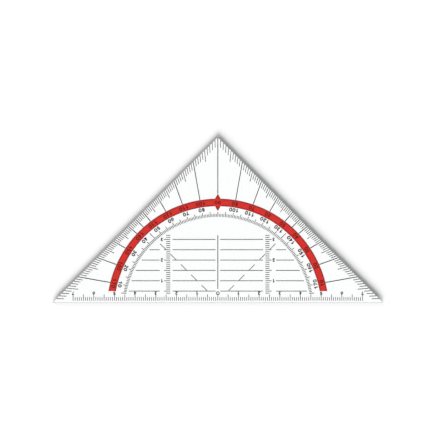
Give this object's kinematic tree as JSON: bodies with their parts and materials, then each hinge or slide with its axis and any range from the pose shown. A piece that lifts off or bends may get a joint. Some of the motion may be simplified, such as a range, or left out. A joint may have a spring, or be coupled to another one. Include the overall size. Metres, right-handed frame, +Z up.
{
  "type": "protractor set square",
  "caption": "Clear plastic set square with a right-angled corner, printed with a centimetre scale, a degree arc on a red band, parallel lines and 45 degree dashes.",
  "frame": {"origin": "the middle of the long edge, on the underside that lies on the paper; the zero mark of the scales lies 0.5 mm from it in +Y", "axes": "+X along the long edge, +Y from the long edge to the right-angled corner, +Z up from the paper; the print reads right from above with the long edge uppermost"},
  "size_m": [0.1594, 0.0799, 0.002],
  "materials": {
    "clear_plastic": "clear colourless plastic with polished faces",
    "black_ink": "black stamping ink, matte",
    "red_ink": "red stamping ink, matte"
  },
  "bodies": {
    "root": {"clear_plate": "clear_plastic", "base_scale_ticks": "black_ink", "base_scale_numerals": "black_ink", "parallel_lines": "black_ink", "left_height_ticks": "black_ink", "right_height_ticks": "black_ink", "left_height_numerals": "black_ink", "right_height_numerals": "black_ink", "centre_line": "black_ink", "left_diagonal_dashes": "black_ink", "right_diagonal_dashes": "black_ink", "arc_degree_ticks": "black_ink", "arc_numerals": "black_ink", "band_numerals": "black_ink", "left_edge_degree_ticks": "black_ink", "right_edge_degree_ticks": "black_ink", "degree_rays": "black_ink", "degree_band": "red_ink", "right_angle_marker": "red_ink"}
  },
  "joints": []
}
